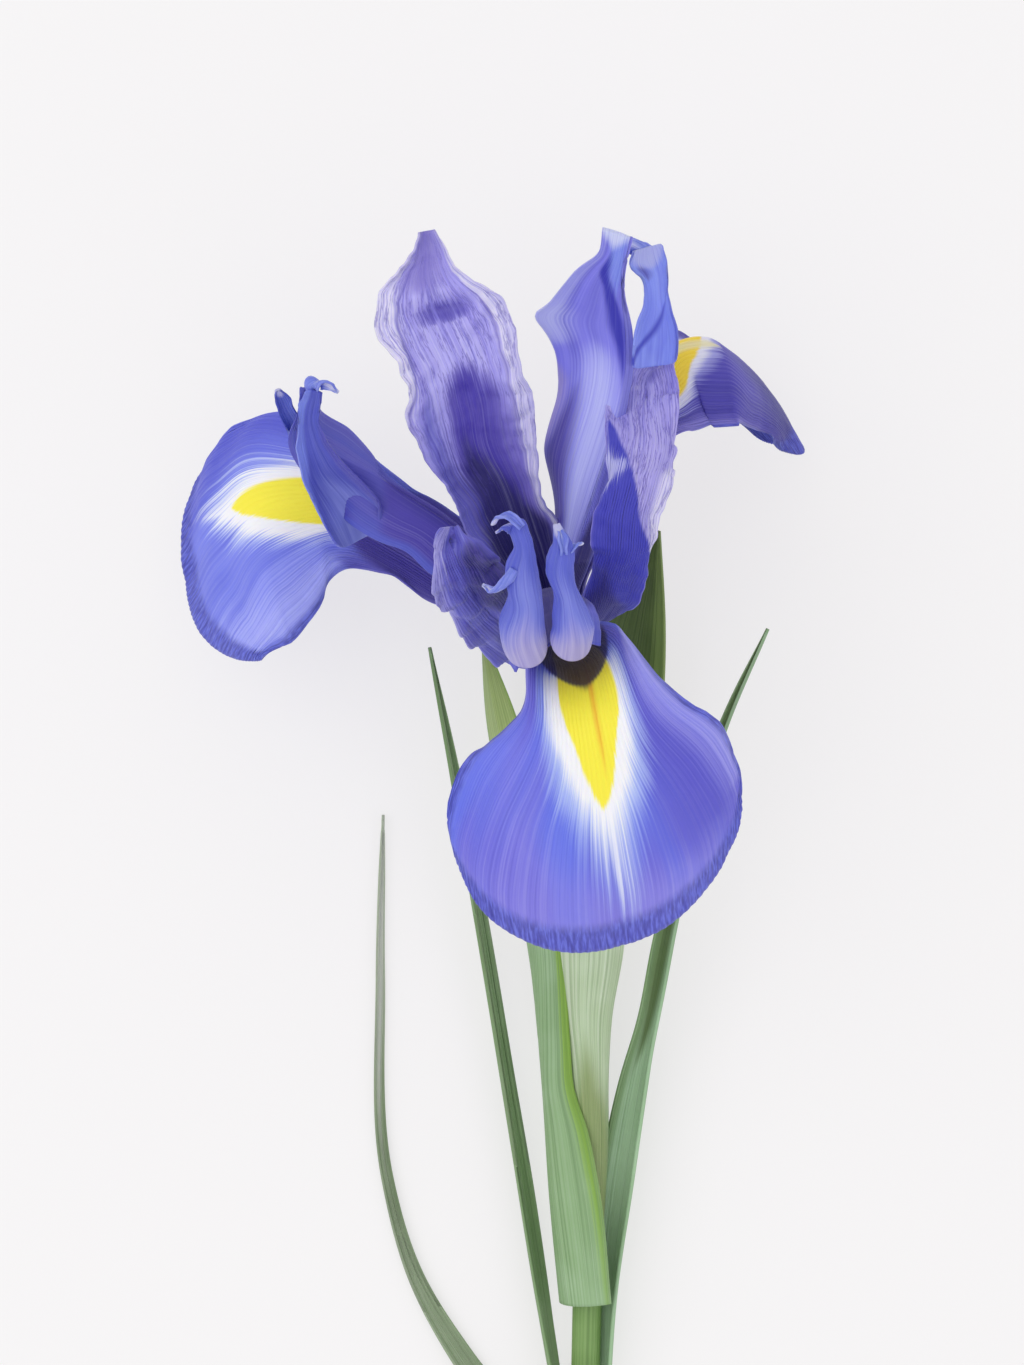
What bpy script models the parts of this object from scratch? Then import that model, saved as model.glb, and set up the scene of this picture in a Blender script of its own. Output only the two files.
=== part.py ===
"""A cut Dutch iris lying on its back: three falls, three standards and three style arms on a bent stem,
with its stamens, its ovary in a spathe of two valves, and four leaves. Blender, metres, +Z up.

The tables below are in millimetres and degrees. A route is a list of places that a midline passes, and a
profile is a list of (share of the length, value) pairs, read as a smooth curve.
Plant frame: X runs along the stem from its cut end, Y to the left of it, Z up.
Flower frame: X points to the side of the uppermost fall, Z along the flower's axis. Each organ is modelled
at azimuth 0 there, as (out, aside, up), and turned to its own azimuth."""

import math
from dataclasses import dataclass

import bmesh
import bpy
import numpy as np
from mathutils import Matrix, Vector

MM = 0.001
PETAL_THICKNESS = 0.7
LEAF_THICKNESS = 0.8

FLOWER_BASE = (150.0, 4.0, 28.4)  # in the plant frame
FLOWER_LEAN = 45.0  # between the flower's axis and the vertical
FLOWER_LEANS_TOWARD = 21.5  # azimuth in the plant frame

FALL_FOOT = (4.3, 0, 0.5)
STANDARD_FOOT = (3.8, 0, 0.5)
ARM_FOOT = (1.7, 0, 1)

FALL_WIDTHS = ((0, 1.6), (0.25, 4.0), (0.5, 7.5), (0.64, 10.0), (0.76, 17.0), (0.88, 21.5), (1, 22.5))
FALL_ROLL = ((0, 60), (0.2, 70), (0.42, 50), (0.52, 10), (0.65, -22), (1, -32))
FALL_SIDES_END = 0.76
FALLS = {  # name: azimuth, route, lean
    "fall_front": (
        0,
        (FALL_FOOT, (12, 0, 10), (25, 0, 21), (37, 0.5, 28), (46, -1, 28), (53, -3.5, 18),
         (56.5, -6, 6), (57.5, -8.5, -7)),
        ((0, 0), (1, 0)),
    ),
    "fall_left": (
        236,
        (FALL_FOOT, (12, -0.5, 8), (24, -1.5, 16), (35, -1.5, 23.5), (44, -0.5, 26), (52, 1, 24),
         (58.5, 3, 18), (62, 5, 10), (62.5, 6, 2)),
        ((0, 0), (0.3, 0), (0.6, -32), (1, -32)),
    ),
    "fall_right": (
        122,
        (FALL_FOOT, (12, 0, 10), (24, -0.5, 19), (35, -1.5, 25), (43, -2.5, 25), (49, -3.5, 19),
         (53.2, -3.5, 10.4), (55.5, -3.8, 2.1), (55.5, -4.1, -6)),
        ((0, 0), (0.3, 0), (0.6, 12), (1, 12)),
    ),
}

STANDARDS = {  # name: azimuth, route, widths, roll
    "standard_back": (
        180,
        (STANDARD_FOOT, (6, 0, 15), (9, 0, 30), (15, 0, 45), (22, -1, 56), (27.5, -3, 65)),
        ((0, 1.3), (0.25, 3.6), (0.5, 8.5), (0.75, 11), (0.9, 7), (1, 2.5)),
        ((0, 60), (0.3, 60), (0.6, 35), (1, 15)),
    ),
    "standard_right": (
        60,
        (STANDARD_FOOT, (10, 0, 11), (18.5, 0, 20), (26, 1, 30), (29, 2, 40), (28, 3, 50), (25, 4, 58)),
        ((0, 1.3), (0.25, 4.5), (0.5, 11), (0.75, 12), (0.9, 7), (1, 2)),
        ((0, 60), (0.3, 80), (0.6, 95), (1, 60)),
    ),
    "standard_left": (
        -60,
        (STANDARD_FOOT, (8, 2, 10), (15, 4.5, 20), (20.5, 7.5, 30), (21.5, 9, 39), (18.5, 9.5, 46)),
        ((0, 1.3), (0.25, 3.6), (0.5, 8), (0.75, 10), (0.9, 6), (1, 2)),
        ((0, 60), (0.3, 60), (0.6, 80), (1, 50)),
    ),
}

# An arm is a roof over its fall's haft. It parts at the end into two crest lobes, which stand up.
ARM_WIDTHS = ((0, 1.2), (0.25, 3.6), (0.55, 5.8), (0.73, 7.6), (0.84, 8), (1, 4))
ARM_ROLL = ((0, -40), (0.3, -50), (0.64, -55), (0.73, -15), (0.84, 60), (1, 75))
ARM_NARROW_PART = 0.3  # up to this share, every arm has the same width
CREST_FROM = 0.74
STYLE_ARMS = {  # name: azimuth, breadth, route
    "style_arm_front": (
        0,
        0.85,
        (ARM_FOOT, (6, 0, 14), (14, 0, 26), (25, 0, 34.5), (34, 0, 38), (39, 0, 40.5), (40, 0, 46),
         (38, 0, 52), (34, 0, 58)),
    ),
    "style_arm_left": (
        243,
        1.5,
        (ARM_FOOT, (5, 0, 14), (11, 0, 25), (19, 0, 32), (26, 0, 35.5), (30.5, 0, 38), (31, 0, 44),
         (29.5, 0, 51), (27, 0, 58)),
    ),
    "style_arm_right": (
        124,
        1.6,
        (ARM_FOOT, (6, 0, 14), (13, 0, 26), (22, 0, 35), (29, 0, 40), (33.5, 0, 43), (35.5, 0, 48),
         (37, 0, 53), (37.5, 0, 58)),
    ),
}

# Stalks have rows of (x, y, z, radius). A stamen lies under each arm: a thin filament, then its anther.
STAMEN = ((2.9, 0, 0.8, 0.45), (9, 0, 12, 0.5), (16, 0, 21, 0.5), (22, 0, 26, 1.2), (30, 0, 31, 1.0))
OVARY = ((150, 4, 28.4, 4.9), (147.4, 3, 25.6, 3.8), (138, 0.2, 17.6, 3.6), (126, -1, 13.2, 3.6),
         (114.1, -1.4, 11.1, 2.8))
STEM = ((0, 0, 2.4, 2.4), (30, -0.6, 5, 2.4), (60, -1.2, 7.5, 2.5), (90, -1.5, 9.2, 2.6),
        (113.6, -1.4, 10.8, 2.8))


def curve_at(stops, share):
    """Value at a share of the smooth curve through stops, rows of (share, value, ...) in rising order."""
    rows = np.array(stops, float)
    shares, values = rows[:, 0], rows[:, 1:]
    i = int(np.clip(np.searchsorted(shares, share) - 1, 0, len(shares) - 2))
    slopes = np.gradient(values, shares, axis=0)
    span = shares[i + 1] - shares[i]
    s = (share - shares[i]) / span
    value = (
        (2 * s**3 - 3 * s**2 + 1) * values[i]
        + (s**3 - 2 * s**2 + s) * span * slopes[i]
        + (3 * s**2 - 2 * s**3) * values[i + 1]
        + (s**3 - s**2) * span * slopes[i + 1]
    )
    return value if len(value) > 1 else float(value[0])


def by_length(route, rows):
    """Each row with its share of the route's length put in front."""
    spots = [Vector(spot) for spot in route]
    lengths = [0.0]
    for before, after in zip(spots, spots[1:]):
        lengths.append(lengths[-1] + (after - before).length)
    return [(length / lengths[-1], *row) for length, row in zip(lengths, rows)]


def smooth_step(start, end, x):
    """0 below start, 1 above end, and smooth between."""
    share = min(1.0, max(0.0, (x - start) / (end - start)))
    return share * share * (3 - 2 * share)


@dataclass
class Sheet:
    """A petal or leaf: a flat outline, rolled across its width and bent along its route."""

    route: tuple
    widths: tuple  # profile of the half width, over the share of the way to the end of the sides
    sides_end: float = 1.0  # share of the length where the sides end and a round tip begins
    roll: tuple = ((0, 0), (1, 0))  # profile of how far each margin turns up
    lean: tuple = ((0, 0), (1, 0))  # profile of how far the sheet turns on its midline
    ruffle: float = 0.0  # height of the waves along the margins
    waves: float = 3.0  # number of those waves
    rim: float = 0.0  # how far the border turns down
    split_from: float = 0.0  # share of the length where it parts into two lobes, if it does
    squares: tuple = (20, 8)  # along and across
    thickness: float = PETAL_THICKNESS

    def __post_init__(self):
        self.midline = by_length(self.route, self.route)

    def section(self, share):
        """The midline's place, and the directions aside and up from it."""
        step = 0.002
        ahead = Vector(curve_at(self.midline, share + step) - curve_at(self.midline, share - step))
        ahead.normalize()
        level = Vector((0, 1, 0))
        aside = (level - ahead * ahead.y).normalized()
        up = ahead.cross(aside)
        turn = Matrix.Rotation(math.radians(curve_at(self.lean, share)), 3, ahead)
        return Vector(curve_at(self.midline, share)), turn @ aside, turn @ up

    def point(self, u, v):
        """Place of the point that is u of the way along, 0 to 1, and v of the way across, -1 to 1."""
        half_width = curve_at(self.widths, u)
        share, across = u, v * half_width
        if self.sides_end < 1:
            share = u * (self.sides_end + (1 - self.sides_end) * math.cos(v * math.pi / 2))
            across = math.sin(v * math.pi / 2) * half_width
        if self.split_from:
            share, across = self.lobe_point(share, across, u, v)
        bend = math.radians(curve_at(self.roll, share)) / half_width
        out, rise = across, 0.0
        if abs(bend) > 1e-4:
            out = math.sin(bend * across) / bend
            rise = (1 - math.cos(bend * across)) / bend
        rise += self.ruffle * abs(v) ** 3 * math.sin(2 * math.pi * self.waves * u + 2 * v)
        sides = smooth_step(0.85, 1, abs(v)) * smooth_step(0.5, 0.7, u)
        rise -= self.rim * max(smooth_step(0.85, 1, u), sides)
        place, aside, up = self.section(share)
        return (place + aside * out + up * rise) * MM

    def lobe_point(self, share, across, u, v):
        """Where a point goes once the sheet parts into two lobes with pointed tips."""
        half_slot, tip_drop = 0.8, 0.12
        parted = smooth_step(self.split_from - 0.03, self.split_from + 0.03, u)
        over_lobe = (abs(v) - SLOT_SHARE) / (1 - SLOT_SHARE)
        half_width = curve_at(self.widths, u)
        lobe_across = math.copysign(half_slot + over_lobe * (half_width - half_slot), v)
        share -= parted * tip_drop * (2 * over_lobe - 1) ** 2 * smooth_step(self.split_from, 1, u)
        return share, across + parted * (lobe_across - across)


SLOT_SHARE = 0.25  # share of each half of a split sheet's grid that is cut away for the slot

GREENS = {
    "spathe_inner": Sheet(
        ((76, -1.4, 12.3), (95, -1.5, 13.7), (114, -1.4, 15.6), (128, -1, 18.8), (137, 0.5, 23.6),
         (142, 2, 28.5)),
        ((0, 6.6), (0.3, 7.0), (0.6, 6.8), (0.85, 3.5), (1, 0.5)),
        roll=((0, -95), (0.5, -90), (1, -50)),
        squares=(16, 6),
        thickness=LEAF_THICKNESS,
    ),
    "spathe_outer": Sheet(
        ((72, -1.5, 2.9), (90, -1.6, 3.8), (108, -2, 4.2), (124, -3, 4.6), (140, -5.5, 7.5),
         (155, -8.5, 12), (168, -12, 17)),
        ((0, 8.2), (0.3, 9.5), (0.6, 9), (0.85, 5.5), (1, 0.5)),
        roll=((0, 90), (0.4, 88), (0.7, 50), (1, 30)),
        squares=(20, 6),
        thickness=LEAF_THICKNESS,
    ),
    "leaf_sheath": Sheet(
        ((40, 2.9, 6.9), (61, 4.2, 9), (84, 6.7, 9.6), (102, 8.2, 10), (138, 14, 12.5), (150, 15.5, 13.5)),
        ((0, 6.6), (0.19, 9.5), (0.4, 7), (0.6, 4.5), (0.85, 3.5), (1, 0.4)),
        roll=((0, 100), (0.19, 98), (0.4, 50), (0.6, 35), (1, 15)),
        lean=((0, 105), (0.19, 105), (0.4, 95), (0.6, 65), (1, 30)),
        squares=(20, 6),
        thickness=LEAF_THICKNESS,
    ),
    "leaf_right": Sheet(
        ((28, -3.9, 4.3), (45, -5.7, 5.5), (61, -8.9, 6.5), (84, -11.8, 8), (103, -13.6, 10.5),
         (138, -23.8, 15), (153, -30.3, 17)),
        ((0, 2.8), (0.25, 4.2), (0.5, 3.4), (0.85, 1.6), (1, 0.4)),
        roll=((0, 45), (0.3, 50), (1, 30)),
        lean=((0, -80), (0.3, -60), (1, -50)),
        squares=(20, 4),
        thickness=LEAF_THICKNESS,
    ),
    "leaf_left": Sheet(
        ((15, 3.2, 3.8), (35, 5.8, 3.6), (61, 9.5, 3.8), (104, 16.1, 6), (129, 21, 9), (150, 25.4, 12)),
        ((0, 2.6), (0.3, 2.4), (0.7, 1.7), (1, 0.4)),
        roll=((0, 45), (0.3, 40), (1, 20)),
        lean=((0, 88), (0.3, 40), (1, 30)),
        squares=(20, 4),
        thickness=LEAF_THICKNESS,
    ),
    "leaf_far_left": Sheet(
        ((2, 3.5, 2.7), (9, 4.9, 2.5), (18, 9.5, 2.0), (32, 18, 1.4), (47, 26.5, 1.1), (63, 31.5, 1.0),
         (90, 33.7, 1), (121, 33.2, 1.2)),
        ((0, 2.3), (0.2, 2.0), (0.5, 1.3), (1, 0.4)),
        roll=((0, 45), (0.2, 30), (1, 15)),
        lean=((0, 88), (0.2, 20), (1, 5)),
        squares=(20, 4),
        thickness=LEAF_THICKNESS,
    ),
}


def clear_scene():
    for old in list(bpy.data.objects):
        bpy.data.objects.remove(old)


def add_material(name, colour, roughness):
    """A plain, non-metallic finish of that colour."""
    material = bpy.data.materials.new(name)
    material.use_nodes = True
    shader = material.node_tree.nodes["Principled BSDF"]
    shader.inputs["Base Color"].default_value = (*colour, 1)
    shader.inputs["Roughness"].default_value = roughness
    shader.inputs["Metallic"].default_value = 0.0
    return material


def add_empty(name, parent, matrix):
    empty = bpy.data.objects.new(name, None)
    iris.objects.link(empty)
    empty.parent = parent
    empty.matrix_basis = matrix
    return empty


def add_object(name, data, material, parent, azimuth):
    """An object of the iris, turned to its azimuth about its parent's Z axis."""
    data.materials.append(material)
    obj = bpy.data.objects.new(name, data)
    iris.objects.link(obj)
    obj.parent = parent
    obj.rotation_euler.z = math.radians(azimuth)
    return obj


def in_slot(face, split_from):
    """Whether a face of the grid, which runs from -1 to 1 each way, is cut away between two lobes."""
    centre = face.calc_center_median()
    return (centre.x + 1) / 2 > split_from and abs(centre.y) < SLOT_SHARE


def add_sheet(name, sheet, material, parent, azimuth=0.0):
    """A sheet as a solid of even thickness."""
    along, across = sheet.squares
    grid = bmesh.new()
    bmesh.ops.create_grid(grid, x_segments=along, y_segments=across, size=1.0)
    if sheet.split_from:
        slot = [face for face in grid.faces if in_slot(face, sheet.split_from)]
        bmesh.ops.delete(grid, geom=slot, context="FACES")
    for vertex in grid.verts:
        vertex.co = sheet.point((vertex.co.x + 1) / 2, vertex.co.y)
    bmesh.ops.triangulate(grid, faces=grid.faces)
    mesh = bpy.data.meshes.new(name)
    grid.to_mesh(mesh)
    grid.free()
    mesh.shade_smooth()
    obj = add_object(name, mesh, material, parent, azimuth)
    solidify = obj.modifiers.new("thickness", "SOLIDIFY")
    solidify.thickness = sheet.thickness * MM
    solidify.offset = 0.0


def add_stalk(name, rows, material, parent, azimuth=0.0, spots=16):
    """A round stalk along the smooth curve through its rows."""
    stops = by_length([row[:3] for row in rows], rows)
    curve = bpy.data.curves.new(name, "CURVE")
    curve.dimensions = "3D"
    curve.bevel_depth = MM
    curve.bevel_resolution = 2
    curve.use_fill_caps = True
    spline = curve.splines.new("POLY")
    spline.points.add(spots - 1)
    for i, spot in enumerate(spline.points):
        x, y, z, radius = curve_at(stops, i / (spots - 1))
        spot.co = (x * MM, y * MM, z * MM, 1)
        spot.radius = radius
    add_object(name, curve, material, parent, azimuth)


def add_falls(flower):
    violet = add_material("fall_violet", (0.13, 0.12, 0.72), 0.5)
    for name, (azimuth, route, lean) in FALLS.items():
        sheet = Sheet(
            route, FALL_WIDTHS, sides_end=FALL_SIDES_END, roll=FALL_ROLL, lean=lean, rim=1.5,
            ruffle=0.5, waves=5, squares=(20, 10),
        )
        add_sheet(name, sheet, violet, flower, azimuth)


def add_standards(flower):
    lavender = add_material("standard_lavender", (0.45, 0.38, 0.8), 0.5)
    for name, (azimuth, route, widths, roll) in STANDARDS.items():
        sheet = Sheet(route, widths, roll=roll, ruffle=1.2, waves=4, squares=(20, 8))
        add_sheet(name, sheet, lavender, flower, azimuth)


def add_style_arms(flower):
    blue = add_material("style_blue", (0.16, 0.16, 0.7), 0.5)
    for name, (azimuth, breadth, route) in STYLE_ARMS.items():
        widths = [(share, width * (breadth if share > ARM_NARROW_PART else 1)) for share, width in ARM_WIDTHS]
        sheet = Sheet(route, widths, roll=ARM_ROLL, split_from=CREST_FROM, squares=(20, 8))
        add_sheet(name, sheet, blue, flower, azimuth)


def add_stamens(flower):
    cream = add_material("stamen_cream", (0.7, 0.65, 0.45), 0.6)
    for arm, (azimuth, _, _) in STYLE_ARMS.items():
        add_stalk(arm.replace("style_arm", "stamen"), STAMEN, cream, flower, azimuth, spots=14)


def add_greens(plant):
    leaf_green = add_material("leaf_green", (0.27, 0.42, 0.2), 0.55)
    spathe_green = add_material("spathe_green", (0.42, 0.56, 0.38), 0.55)
    add_stalk("stem", STEM, leaf_green, plant)
    add_stalk("ovary", OVARY, spathe_green, plant)
    for name, sheet in GREENS.items():
        add_sheet(name, sheet, spathe_green if name.startswith("spathe") else leaf_green, plant)


def flower_pose():
    """The flower frame in the plant frame: its axis leans, and its X axis is the uppermost side."""
    return (
        Matrix.Translation(Vector(FLOWER_BASE) * MM)
        @ Matrix.Rotation(math.radians(FLOWER_LEANS_TOWARD), 4, "Z")
        @ Matrix.Rotation(math.radians(FLOWER_LEAN), 4, "Y")
        @ Matrix.Rotation(math.pi, 4, "Z")
    )


def centre_on_floor(plant):
    """Moves the plant so that its lowest points are on the floor and its box is centred on the origin."""
    bpy.context.view_layer.update()
    graph = bpy.context.evaluated_depsgraph_get()
    spots = []
    for obj in iris.objects:
        if obj.type != "EMPTY":
            mesh = obj.evaluated_get(graph).to_mesh()
            spots += [obj.matrix_world @ vertex.co for vertex in mesh.vertices]
    low, high = np.min(spots, axis=0), np.max(spots, axis=0)
    plant.location -= Vector(((low[0] + high[0]) / 2, (low[1] + high[1]) / 2, low[2]))


clear_scene()
iris = bpy.data.collections.new("iris flower")
bpy.context.scene.collection.children.link(iris)
plant = add_empty("plant", None, Matrix.Rotation(math.pi / 2, 4, "Z"))
flower = add_empty("flower", plant, flower_pose())
add_falls(flower)
add_standards(flower)
add_style_arms(flower)
add_stamens(flower)
add_greens(plant)
centre_on_floor(plant)
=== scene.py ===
"""The looks of a cut Dutch iris lying on its back: each petal, style arm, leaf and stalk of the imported
model gets a fine piece of its own, with veins, crumpled margins and markings.

The tables are in millimetres and degrees. A route is a list of places that a midline passes, and a profile
is a list of (percent of the length, value, ...) rows, read as a smooth curve.
Plant frame: X runs along the stem from its cut end, Y to the left of it, Z up.
Flower frame: X points to the side of the uppermost fall, Z along the flower's axis. Each organ is modelled
at azimuth 0 there, as (out, aside, up), and turned to its own azimuth."""

import math
from dataclasses import dataclass

import bmesh
import bpy
import numpy as np
from mathutils import Matrix, Vector, noise


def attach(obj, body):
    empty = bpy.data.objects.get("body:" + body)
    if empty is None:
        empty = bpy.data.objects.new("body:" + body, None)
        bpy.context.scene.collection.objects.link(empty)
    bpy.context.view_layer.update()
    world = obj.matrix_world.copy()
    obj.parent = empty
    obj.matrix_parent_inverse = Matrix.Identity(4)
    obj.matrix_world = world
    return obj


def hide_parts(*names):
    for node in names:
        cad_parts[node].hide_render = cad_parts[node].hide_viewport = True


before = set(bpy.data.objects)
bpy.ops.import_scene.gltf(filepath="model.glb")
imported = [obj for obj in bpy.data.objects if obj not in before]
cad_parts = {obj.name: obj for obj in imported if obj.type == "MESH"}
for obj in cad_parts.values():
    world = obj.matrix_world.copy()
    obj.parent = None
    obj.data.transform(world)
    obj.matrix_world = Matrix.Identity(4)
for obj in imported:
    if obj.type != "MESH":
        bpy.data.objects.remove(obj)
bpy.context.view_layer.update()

MM = 0.001

ARC_STEPS = 32  # short stretches that a rolled sheet's arc is added up from
END_PLEATS = 27  # in half of a blade's end
SIDE_PLEATS = 24  # along a blade's side
COARSE_SEED = 1  # of the creases' noise
FINE_SEED = 8
WELD = 0.02  # points as close as this are one

PLANT_ORIGIN = (13.07, -106.58, -0.01)
FLOWER_BASE = (150.0, 4.0, 28.4)  # in the plant frame
FLOWER_LEAN = 45.0  # between the flower's axis and the vertical
FLOWER_LEANS_TOWARD = 21.5  # azimuth in the plant frame

PLANT = Matrix.Translation(PLANT_ORIGIN) @ Matrix.Rotation(math.pi / 2, 4, "Z")
FLOWER = (
    PLANT
    @ Matrix.Translation(FLOWER_BASE)
    @ Matrix.Rotation(math.radians(FLOWER_LEANS_TOWARD), 4, "Z")
    @ Matrix.Rotation(math.radians(FLOWER_LEAN), 4, "Y")
    @ Matrix.Rotation(math.pi, 4, "Z")
)


# ---------------------------------------------------------------------------- curves and sheets


def smooth_curve(stops, values, share):
    """Values at an array of shares, of the smooth curve that has the given values at its stops."""
    share = np.asarray(share, float)
    i = np.clip(np.searchsorted(stops, share) - 1, 0, len(stops) - 2)
    slopes = np.gradient(values, stops, axis=0)
    span = (stops[i + 1] - stops[i])[..., None]
    s = (share[..., None] - stops[i][..., None]) / span
    found = (
        (2 * s**3 - 3 * s**2 + 1) * values[i]
        + (s**3 - 2 * s**2 + s) * span * slopes[i]
        + (3 * s**2 - 2 * s**3) * values[i + 1]
        + (s**3 - s**2) * span * slopes[i + 1]
    )
    return found if values.shape[1] > 1 else found[..., 0]


def profile(rows, share):
    """A profile's values at an array of shares."""
    rows = np.array(rows, float)
    return smooth_curve(rows[:, 0] / 100, rows[:, 1:], share)


def both(*rows):
    """A profile whose value is the same on both sides."""
    return tuple((along, value, value) for along, value in rows)


def even(*rows):
    """Edges that lie equally far out on both sides."""
    return tuple((along, -reach, reach) for along, reach in rows)


def one_sided(rows):
    """A half sheet's profile, which is 0 at its midline."""
    return tuple((along, 0, value) for along, value in rows)


def stops_along(route):
    """The share of the route's length at which each of its places lies."""
    lengths = np.concatenate(([0.0], np.cumsum(np.linalg.norm(np.diff(route, axis=0), axis=1))))
    return lengths / lengths[-1]


def unit(vectors):
    return vectors / np.linalg.norm(vectors, axis=-1, keepdims=True)


def smooth_step(start, end, x):
    """0 below start, 1 above end, and smooth between."""
    share = np.clip((np.asarray(x, float) - start) / (end - start), 0, 1)
    return share * share * (3 - 2 * share)


def noise_at(places, size, seed):
    """Smooth noise, about -1 to 1, of features of that size in mm, at an array of places."""
    shift = Vector((17.3 * seed, -9.1 * seed, 5.7 * seed))
    flat = places.reshape(-1, 3) / size
    values = [noise.noise(Vector(place) + shift) for place in flat]
    return 1.6 * np.array(values).reshape(places.shape[:-1])


@dataclass
class Sheet:
    """A petal, half a style arm or a leaf: an outline, rolled across its width and bent along its route."""

    route: tuple
    edges: tuple  # profile of how far the first and the second edge lie from the midline
    sides_end: float = 1.0  # share of the length where the sides end and a round tip begins
    roll: tuple = ((0, 0, 0), (100, 0, 0))  # profile of how much each side turns up towards its edge
    rise: tuple = ()  # profile of how steeply each edge lies above the midline, or half the roll
    sweep: tuple = ((0, 0, 0), (100, 0, 0))  # profile of how far each edge lies ahead along the route
    lean: tuple = ((0, 0), (100, 0))  # profile of how far the sheet turns on its midline
    side: int = 1  # -1 mirrors the sheet across its midline
    half: bool = False  # the sheet runs from the midline to one margin only
    ruffle: tuple = (0.0, 3.0)  # height and number of the waves along the margins
    rim: float = 0.0  # how far the border turns down
    pleats: float = 0.0  # height of the fine pleats in the border
    crumple: tuple = ((0, 0), (100, 0))  # profile of the height of uneven creases
    crumple_size: float = 5.0
    veins: tuple = (0.0, 20)  # height and number of the raised veins
    bumps: tuple = ()  # rows of (along, across, length, breadth, height), all but the height as shares
    cells: tuple = (110, 80)  # along and across
    thickness: float = 0.35

    def section(self, share):
        """The midline's place, and the directions aside, up and ahead from it."""
        route = np.array(self.route, float)
        stops = stops_along(route)
        step = 0.002
        ahead = unit(smooth_curve(stops, route, share + step) - smooth_curve(stops, route, share - step))
        aside = unit(np.array((0.0, 1.0, 0.0)) - ahead * ahead[..., 1:2])
        up = np.cross(ahead, aside)
        lean = np.radians(profile(self.lean, share))[..., None]
        leaned = aside * np.cos(lean) + up * np.sin(lean)
        place = smooth_curve(stops, route, share)
        return place, leaned, up * np.cos(lean) - aside * np.sin(lean), ahead

    def bend_across(self, share, across, edges):
        """How far out and up the rolled sheet's point lies, and the angle of its surface there."""
        first = across < 0
        level = self.rise or [(at, turn / 2, other_turn / 2) for at, turn, other_turn in self.roll]
        rise, roll = (
            np.radians(np.where(first, sides[..., 0], sides[..., 1]))
            for sides in (profile(level, share), profile(self.roll, share))
        )
        reach = np.where(first, np.abs(edges[..., 0]), np.abs(edges[..., 1])) + 1e-6
        part = np.abs(across) / reach
        steps = part[..., None] * (np.arange(ARC_STEPS) + 0.5) / ARC_STEPS
        angle = (rise - roll / 2)[..., None] + roll[..., None] * steps
        along_arc = across / np.sinc(roll / 2 / math.pi)
        out = along_arc * np.cos(angle).mean(axis=-1)
        up = np.abs(along_arc) * np.sin(angle).mean(axis=-1)
        return out, up, (rise - roll / 2 + roll * part) * np.sign(across)

    def points(self, u, v):
        """Places of the points that are u of the way along, 0 to 1, and v of the way across, -1 to 1."""
        round_tip = self.sides_end < 1
        share_at_edge = u * self.sides_end
        share = share_at_edge + u * (1 - self.sides_end) * np.cos(v * math.pi / 2)
        part = np.sin(v * math.pi / 2) if round_tip else v
        ends = profile(self.edges, share_at_edge)
        across = (ends[..., 1] + ends[..., 0]) / 2 + part * (ends[..., 1] - ends[..., 0]) / 2
        out, rise, angle = self.bend_across(share_at_edge, across, ends)
        rise = rise - self.rim * self.border(u, v)
        place, aside, up, ahead = self.section(share)
        sweep = profile(self.sweep, share_at_edge)
        place = place + ahead * (np.where(v < 0, sweep[..., 0], sweep[..., 1]) * part**2)[..., None]
        aside = aside * self.side
        place = place + aside * out[..., None] + up * rise[..., None]
        normal = up * np.cos(angle)[..., None] - aside * np.sin(angle)[..., None]
        return place + normal * self.relief(u, v, place)[..., None]

    def border(self, u, v):
        """1 on the border of the blade, and 0 inside it and along the haft."""
        sides = smooth_step(0.85, 1, np.abs(v)) * smooth_step(0.5, 0.7, u)
        return np.maximum(smooth_step(0.85, 1, u), sides)

    def relief(self, u, v, place):
        """Height of the waves, veins, creases and bumps over the smooth sheet."""
        wave, count = self.ruffle
        height = wave * np.abs(v) ** 3 * np.sin(math.tau * count * u + 2 * v)
        vein, vein_count = self.veins
        raised = smooth_step(0, 0.2, u) * (1 - self.border(u, v))
        height += vein * np.cos(math.pi * vein_count * v) * raised
        if self.pleats:
            end = smooth_step(0.86, 0.95, u) * np.sin(math.tau * END_PLEATS * v + 2.5 * np.sin(9 * v))
            sides = smooth_step(0.86, 0.95, np.abs(v)) * smooth_step(0.6, 0.7, u)
            sides = sides * np.sin(math.tau * SIDE_PLEATS * u)
            height += self.pleats * np.where(u > 0.93, end, np.maximum(end, sides))
        creases = profile(self.crumple, u)
        if np.max(creases) > 0:
            coarse = noise_at(place, self.crumple_size, COARSE_SEED)
            fine = noise_at(place, self.crumple_size / 2.3, FINE_SEED)
            height += creases * (0.3 + 0.7 * v**2) * (coarse + 0.45 * fine)
        for along, across, length, breadth, rise in self.bumps:
            height += rise * np.exp(-(((u - along) / length) ** 2) - ((v - across) / breadth) ** 2)
        return height


def sheet_grid(sheet):
    """Rows and columns of places and of their shares along and across."""
    along, across = sheet.cells
    u, v = np.meshgrid(np.linspace(0, 1, along + 1), np.linspace(-1, 1, across + 1), indexing="ij")
    across = (v + 1) / 2 if sheet.half else v
    return sheet.points(u, v), np.stack((u, (across * sheet.side + 1) / 2), axis=-1)


def new_grids():
    """A mesh under construction, for grids with their shares as coordinates."""
    mesh = bmesh.new()
    mesh.loops.layers.uv.new("petal")
    return mesh


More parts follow.
